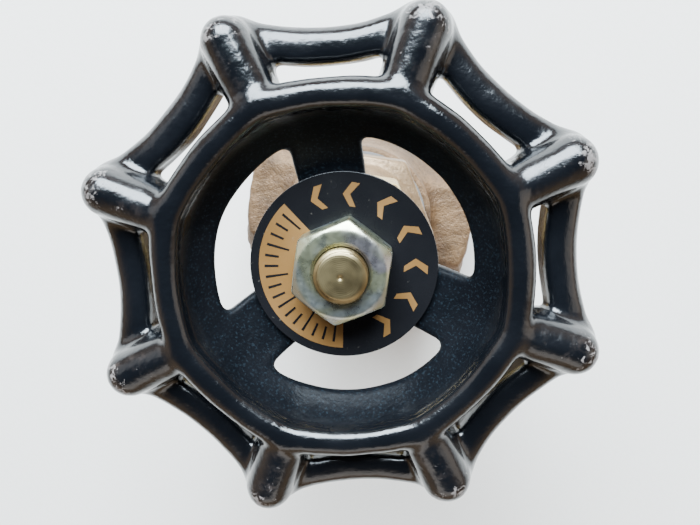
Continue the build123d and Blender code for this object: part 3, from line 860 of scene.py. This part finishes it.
def black_enamel():
    """Gloss black enamel over sand-cast iron, dull in the bowl, with dust there tinted blue-grey as a
    painted sheen, and worn on the ridges.
    """
    p = Paint("black_enamel")
    wear = p.attribute("wear")
    bowl = p.attribute("bowl")
    flank = p.attribute("flank")
    grain = p.noise(900, 4, 0.6)
    chips = p.noise(1250, 6, 0.72, distortion=0.7)
    patches = p.noise(160, 3)
    smears = p.noise(420, 4, 0.6, distortion=0.3)
    # where the enamel is chipped off, rubbed dull or dusty; the bowl's dust colour also carries a
    # painted blue-grey sheen
    worn = p.math("MULTIPLY_ADD", wear, 0.30, chips)
    worn = p.math("MULTIPLY_ADD", smears, 0.30, worn)
    worn = p.ramp(worn, 0.965, 1.03)
    haze = p.math("MULTIPLY", wear, p.ramp(smears, 0.46, 0.64))
    grainy_haze = p.math("MULTIPLY", haze, p.ramp(grain, 0.42, 0.72, 0.0, 0.8))
    # dust in the bowl, whose blue-grey colour is partly a painted sheen of the cool light
    dust_and_sheen = p.ramp(p.noise(3200, 3, 0.6), 0.52, 0.74)
    dust_and_sheen = p.math("MULTIPLY", dust_and_sheen, p.ramp(bowl, 0.2, 1.0, 0.03, 0.6))
    enamel = p.mix(dust_and_sheen, p.mix(patches, ENAMEL_DEEP, ENAMEL_THIN), BOWL_DUST_AND_SHEEN)
    enamel = p.mix(grainy_haze, enamel, RUBBED_ENAMEL)
    p.colour(p.mix(worn, enamel, p.mix(grain, BARE_IRON_DARK, BARE_IRON_LIGHT)))
    # duller in the bowl and low on the rim's outer side
    dullness = p.ramp(patches, 0.3, 0.7, 0.13, 0.24)
    for area, amount in ((bowl, 0.20), (haze, 0.16), (flank, 0.12), (worn, 0.30)):
        dullness = p.math("MULTIPLY_ADD", area, amount, dullness)
    p.rough(dullness)
    shine = p.ramp(flank, 0.0, 1.0, 1.0, 0.35)
    mirror = p.math("MULTIPLY", p.ramp(bowl, 0.0, 1.0, 0.42, 0.05), shine)
    p.link(mirror, p.shader.inputs["Specular IOR Level"])
    lacquer = p.math("MULTIPLY", p.ramp(bowl, 0.0, 0.8, 0.34, 0.0), shine)
    p.link(lacquer, p.shader.inputs["Coat Weight"])
    p.set(Coat_Roughness=0.06)
    peel = p.noise(420, 2, 0.45)
    sand = p.noise(1500, 3, 0.6)
    p.bump((peel, 0.00020, 0.55), (sand, 0.00012, 0.5), (worn, 0.00006, -0.5))
    return p.material


def cast_bronze(name, light, dark, grain_depth, roughness):
    """Sand-cast bronze: grainy, uneven in colour, darker in its pits."""
    p = Paint(name)
    sand = p.noise(1500, 5, 0.65)
    lumps = p.noise(330, 3, 0.55)
    stain = p.noise(75, 4, 0.6, distortion=0.6)
    base = p.mix(p.ramp(stain, 0.35, 0.68), light, dark)
    pits = p.ramp(sand, 0.30, 0.48, 1.0, 0.0)
    tarnish = p.mix(p.ramp(lumps, 0.4, 0.75, 0.0, 0.35), base, BRONZE_TARNISH)
    p.colour(p.mix(p.math("MULTIPLY", pits, 0.7), tarnish, BRONZE_PIT))
    p.set(Metallic=0.5)
    p.rough(p.ramp(sand, 0.2, 0.8, roughness + 0.12, roughness - 0.08))
    p.bump((lumps, 0.0004, 0.5), (sand, grain_depth, 0.8))
    return p.material


def turned_metal(name, light, dark, roughness, lines, line_depth):
    """Machined metal with fine lathe lines round the stem's axis and a light tarnish."""
    p = Paint(name)
    x, y = p.axis("X"), p.axis("Y")
    radius = p.math("SQRT", p.math("ADD", p.math("MULTIPLY", x, x), p.math("MULTIPLY", y, y)))
    height = p.axis("Z")
    rings = p.math("SINE", p.math("MULTIPLY", p.math("ADD", radius, height), lines))
    uneven = p.noise(260, 3)
    tarnish = p.noise(110, 4, 0.6, distortion=0.5)
    p.colour(p.mix(p.ramp(tarnish, 0.35, 0.7), light, dark))
    p.set(Metallic=1.0)
    p.rough(p.ramp(uneven, 0.3, 0.7, roughness - 0.05, roughness + 0.10))
    scratch = p.noise(700, 2, 0.5, stretch=(1, 1, 6))
    p.bump((rings, line_depth, 0.35), (scratch, 0.00004, 0.3))
    return p.material


def zinc_plate():
    """Zinc plate with a yellow-green passivation that varies over the nut."""
    p = Paint("zinc_plate")
    drift = p.noise(130, 3, 0.5, distortion=0.8)
    fine = p.noise(900, 4, 0.6)
    tint = p.mix(p.ramp(drift, 0.36, 0.52), ZINC_BLUE, ZINC_YELLOW)
    tint = p.mix(p.ramp(drift, 0.55, 0.70), tint, ZINC_VIOLET)
    p.colour(p.mix(p.ramp(fine, 0.60, 0.76, 0.0, 0.35), tint, ZINC_SPECK))
    p.set(Metallic=0.95)
    p.rough(p.ramp(fine, 0.3, 0.7, 0.24, 0.38))
    p.bump((p.noise(500, 3), 0.00012, 0.35), (fine, 0.00004, 0.4))
    return p.material


def plate_black():
    """Satin black lacquer of the identification plate."""
    p = Paint("plate_black")
    speck = p.noise(1300, 3, 0.6)
    rub = p.noise(120, 4, 0.6)
    base = p.mix(rub, LACQUER_DARK, LACQUER_RUBBED)
    p.colour(p.mix(p.ramp(speck, 0.68, 0.78, 0.0, 0.5), base, LACQUER_SPECK))
    p.rough(p.ramp(rub, 0.3, 0.7, 0.18, 0.28))
    p.set(Specular_IOR_Level=0.25)
    p.bump((speck, 0.00003, 0.4))
    return p.material


def plate_print():
    """Tan gold print with a slightly worn, mottled surface."""
    p = Paint("plate_print")
    speck = p.noise(1500, 4, 0.65)
    shade = p.noise(170, 3)
    base = p.mix(shade, PRINT_DARK, PRINT_LIGHT)
    p.colour(p.mix(p.ramp(speck, 0.62, 0.75, 0.0, 0.7), base, PRINT_SPECK))
    p.set(Metallic=0.35)
    p.rough(p.ramp(shade, 0.3, 0.7, 0.36, 0.48))
    p.bump((speck, 0.00003, 0.4))
    return p.material


def soft_matter(name, light, dark, scale, roughness):
    """Fibre, yarn or moulded compound."""
    p = Paint(name)
    fibre = p.noise(scale, 4, 0.6, stretch=(1, 1, 2.5))
    p.colour(p.mix(fibre, dark, light))
    p.rough(p.ramp(fibre, 0.3, 0.7, roughness - 0.1, roughness + 0.1))
    p.bump((fibre, 0.00012, 0.5))
    return p.material


BLACK = black_enamel()
CASTING = cast_bronze("cast_bronze", (0.215, 0.126, 0.062), (0.072, 0.042, 0.022), 0.00040, 0.55)
BONNET = cast_bronze("bonnet_bronze", (0.29, 0.19, 0.10), (0.175, 0.108, 0.055), 0.00010, 0.42)
TURNED = turned_metal("turned_brass", (0.74, 0.57, 0.27), (0.60, 0.43, 0.19), 0.24, 42000, 0.00003)
STEM = turned_metal("stem_brass", (0.31, 0.25, 0.13), (0.21, 0.16, 0.08), 0.36, 30000, 0.00001)
ZINC = zinc_plate()
PLATE = plate_black()
PRINT = plate_print()

# finish of the CAD nodes that stay visible, by their slot
SLOT_MATERIALS = {
    "turned_brass": TURNED,
    "gasket_fibre": soft_matter("gasket_fibre", (0.20, 0.19, 0.18), (0.11, 0.105, 0.10), 1500, 0.75),
    "packing": soft_matter("packing", (0.16, 0.16, 0.17), (0.07, 0.07, 0.075), 1300, 0.55),
    "seat_compound": soft_matter("seat_compound", (0.82, 0.80, 0.74), (0.72, 0.70, 0.63), 900, 0.50),
}


# ---- pieces ---------------------------------------------------------------------------------

RIDGE_WEAR = 0.6             # wear of the ridges, where that of the tips is 1


def mark_wheel(wheel):
    """Store on the wheel's points where it is worn, in the bowl, or low on its outer side."""
    co = np.array([v.co for v in wheel.data.vertices]) / MM
    h = co[:, 2] - HUB_TOP
    r = np.hypot(co[:, 0], co[:, 1])
    t = fold(np.arctan2(co[:, 1], co[:, 0]), LOBE_ANGLE, LOBES)
    off = np.abs(r * np.sin(t))
    # each area fades between two heights, two radii and two distances from a finger's middle
    ridge = step_up(h, 4.6, 6.9) * step_up(r, 21.5, 25.5) * (1 - step_up(off, 1.6, 3.2))
    tip = step_up(r, 27.2, 29.6) * step_up(h, 0.5, 4.5) * (1 - step_up(off, 2.4, 3.8))
    areas = {
        "wear": np.maximum(RIDGE_WEAR * ridge, tip),
        "bowl": (1 - step_up(r, 17.6, 19.4)) * step_up(h, -4, -1),
        "flank": step_up(r, 22.0, 23.5) * (1 - step_up(h, 0.5, 3.0)),
    }
    for name, values in areas.items():
        layer = wheel.data.attributes.new(name, "FLOAT", "POINT")
        layer.data.foreach_set("value", values.astype(np.float32))


# spacing of the samples that each field is drawn from
WHEEL_GRID = 0.40
BODY_GRID = 0.38
BONNET_GRID = 0.33
CAP_GRID = 0.25
STEM_GRID = 0.17
NUT_GRID = 0.13


def build_castings():
    """Wheel, body and bonnet."""
    wheel = solid("handwheel_casting", wheel_shape, WHEEL_GRID,
                  "wheel_and_stem", "handwheel", BLACK)
    mark_wheel(wheel)
    solid("body_casting", body_shape, BODY_GRID, "valve", "valve_body", CASTING)
    solid("bonnet_casting", bonnet_shape, BONNET_GRID, "valve", "bonnet", BONNET)


def build_turned_parts():
    """Nuts and stem."""
    solid("packing_cap_nut", packing_nut_shape, CAP_GRID,
          "valve", "packing_nut", TURNED)
    solid("stem_turning", stem_shape, STEM_GRID, "wheel_and_stem", "stem", STEM)
    solid("wheel_hex_nut", wheel_nut_shape, NUT_GRID,
          "wheel_and_stem", "wheel_nut", ZINC)


PRINT_RISE = 0.03
PLATE_BEVEL = 0.08
PLATE_HOLE = 3.4
SECTOR_INNER = 5.2
SECTOR_OUTER = 10.4
SECTOR_START = 142           # angles of the plate in degrees from +X
SECTOR_END = 278
TICKS = 16
TICK_START = 148
TICK_STEP = 8.2
TICK_HALF = 0.9              # half the width of a tick, in degrees
TICK_OUTER = 9.7
TICK_INNER = 8.0
LONG_TICK_INNER = 6.9
LONG_TICK_EVERY = 3
ARROW_ANGLES = (-48, -20, 8, 36, 64, 92, 118)
ARROW_RADIUS = 8.8
ARROW_SIZE = 1.45


def build_plate():
    """Black disc with a scale sector and a run of opening arrowheads, all plain marks."""
    radius = PLATE_HIGH[0]
    bottom, top = PLATE_LOW[2], PLATE_HIGH[2]
    first, second = top + PRINT_RISE, top + 2 * PRINT_RISE
    disc = [circle(radius), circle(PLATE_HOLE, 64)]
    plate = disc_piece("plate_disc", disc, bottom, top, PLATE,
                       "wheel_and_stem", bevel=PLATE_BEVEL)
    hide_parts("identification_plate")
    face = [sector(SECTOR_INNER, SECTOR_OUTER, SECTOR_START, SECTOR_END)]
    disc_piece("print_sector", face, top, first, PRINT, "wheel_and_stem")
    ticks = []
    for number in range(TICKS):
        angle = TICK_START + number * TICK_STEP
        inner = TICK_INNER if number % LONG_TICK_EVERY else LONG_TICK_INNER
        ticks.append(sector(inner, TICK_OUTER, angle - TICK_HALF, angle + TICK_HALF))
    disc_piece("print_ticks", ticks, first, second, PLATE, "wheel_and_stem")
    arrows = [chevron(ARROW_RADIUS, angle, ARROW_SIZE) for angle in ARROW_ANGLES]
    disc_piece("print_arrows", arrows, top, first, PRINT, "wheel_and_stem")


def finish_cad_nodes():
    """Give the CAD nodes that stay visible their procedural finish."""
    slots = {part["node"]: part["material_slot"] for part in frame["record"]["subparts"]}
    for node, piece in frame["nodes"].items():
        material = SLOT_MATERIALS.get(slots[node])
        if material:
            piece.data.materials.clear()
            piece.data.materials.append(material)


# ---- stage ----------------------------------------------------------------------------------

FLOOR_HALF = 4.0             # in metres
FLOOR_DARK = (0.87, 0.82, 0.76)
FLOOR_LIGHT = (0.92, 0.875, 0.815)

# each light: name, place, size in metres, power in watts, colour
LIGHTS = (
    ("window", (-0.12, 0.52, 0.52), (0.60, 0.44), 42.0, (0.76, 0.89, 1.0)),
    ("left_side", (-0.75, 0.10, 0.50), (0.35, 0.6), 0.8, (0.92, 0.96, 1.0)),
    ("right_side", (0.75, 0.05, 0.50), (0.35, 0.6), 0.8, (1.0, 0.94, 0.86)),
    ("near_side", (0.10, -0.70, 0.50), (0.7, 0.3), 1.2, (1.0, 0.97, 0.94)),
)

ROOM_WALLS = (0.80, 0.56, 0.34, 1)
ROOM_OVERHEAD = (0.05, 0.055, 0.065, 1)
ROOM_FADE = (0.25, 0.85)     # heights of the view direction between walls and overhead
ROOM_STRENGTH = 0.9

SENSOR_WIDTH = 36.0
FOCAL_RATIO = 0.983          # focal length over the sensor's width
CAMERA_SIDE = 2.4            # camera's place in millimetres, measured from the hub's top
CAMERA_ABOVE = 17.1
CAMERA_AWAY = 82.6
RIGHT = (0.9815, 0.1475, -0.050)  # directions across and up the camera's view
UP = (-0.1590, 0.9684, -0.1920)


def build_stage():
    """Pale floor under the valve."""
    mesh = bpy.data.meshes.new("floor")
    corners = [(FLOOR_HALF * a, FLOOR_HALF * b, 0) for a, b in ((-1, -1), (1, -1), (1, 1), (-1, 1))]
    mesh.from_pydata(corners, [], [(0, 1, 2, 3)])
    floor = bpy.data.objects.new("floor", mesh)
    bpy.context.scene.collection.objects.link(floor)
    p = Paint("floor_paper")
    fibre = p.noise(900, 4, 0.6)
    p.colour(p.mix(fibre, FLOOR_DARK, FLOOR_LIGHT))
    p.set(Roughness=0.9)
    p.bump((fibre, 0.0002, 0.2))
    mesh.materials.append(p.material)


def area_light(name, place, size, power, colour):
    """A soft rectangular light, aimed at the wheel's hub."""
    light = bpy.data.lights.new(name, "AREA")
    light.shape = "RECTANGLE"
    light.size, light.size_y = size
    light.energy = power
    light.color = colour
    lamp = bpy.data.objects.new(name, light)
    bpy.context.scene.collection.objects.link(lamp)
    lamp.location = place
    aim = Vector((0, 0, HUB_TOP * MM))
    lamp.rotation_euler = (aim - Vector(place)).to_track_quat("-Z", "Y").to_euler()


def build_lights():
    """A cool window on the far side and softer side lights."""
    for light in LIGHTS:
        area_light(*light)


def build_room():
    """A room with warm walls that is dark overhead."""
    world = bpy.data.worlds.new("room")
    world.use_nodes = True
    tree = world.node_tree
    direction = tree.nodes.new("ShaderNodeTexCoord").outputs["Generated"]
    split = tree.nodes.new("ShaderNodeSeparateXYZ")
    tree.links.new(direction, split.inputs["Vector"])
    rise = tree.nodes.new("ShaderNodeMapRange")
    rise.interpolation_type = "SMOOTHSTEP"
    for name, height in zip(("From Min", "From Max"), ROOM_FADE):
        rise.inputs[name].default_value = height
    tree.links.new(split.outputs["Z"], rise.inputs["Value"])
    blend = tree.nodes.new("ShaderNodeMix")
    blend.data_type = "RGBA"
    tree.links.new(rise.outputs["Result"], blend.inputs["Factor"])
    for name, colour in (("A", ROOM_WALLS), ("B", ROOM_OVERHEAD)):
        colour_socket(blend.inputs, name).default_value = colour
    background = tree.nodes["Background"]
    tree.links.new(colour_socket(blend.outputs, "Result"), background.inputs["Color"])
    background.inputs["Strength"].default_value = ROOM_STRENGTH
    bpy.context.scene.world = world


def build_camera():
    """Camera almost over the stem, leaning towards +Y."""
    data = bpy.data.cameras.new("camera")
    data.sensor_width = SENSOR_WIDTH
    data.lens = SENSOR_WIDTH * FOCAL_RATIO
    data.clip_start = 0.005
    camera = bpy.data.objects.new("camera", data)
    bpy.context.scene.collection.objects.link(camera)
    right = Vector(RIGHT).normalized()
    up = Vector(UP)
    up = (up - right * up.dot(right)).normalized()
    back = right.cross(up)
    turned = Matrix((right, up, back)).transposed().to_4x4()
    place = Vector((CAMERA_SIDE, CAMERA_ABOVE, HUB_TOP + CAMERA_AWAY)) * MM
    camera.matrix_world = Matrix.Translation(place) @ turned
    bpy.context.scene.camera = camera


build_castings()
build_turned_parts()
build_plate()
finish_cad_nodes()
build_stage()
build_lights()
build_room()
build_camera()
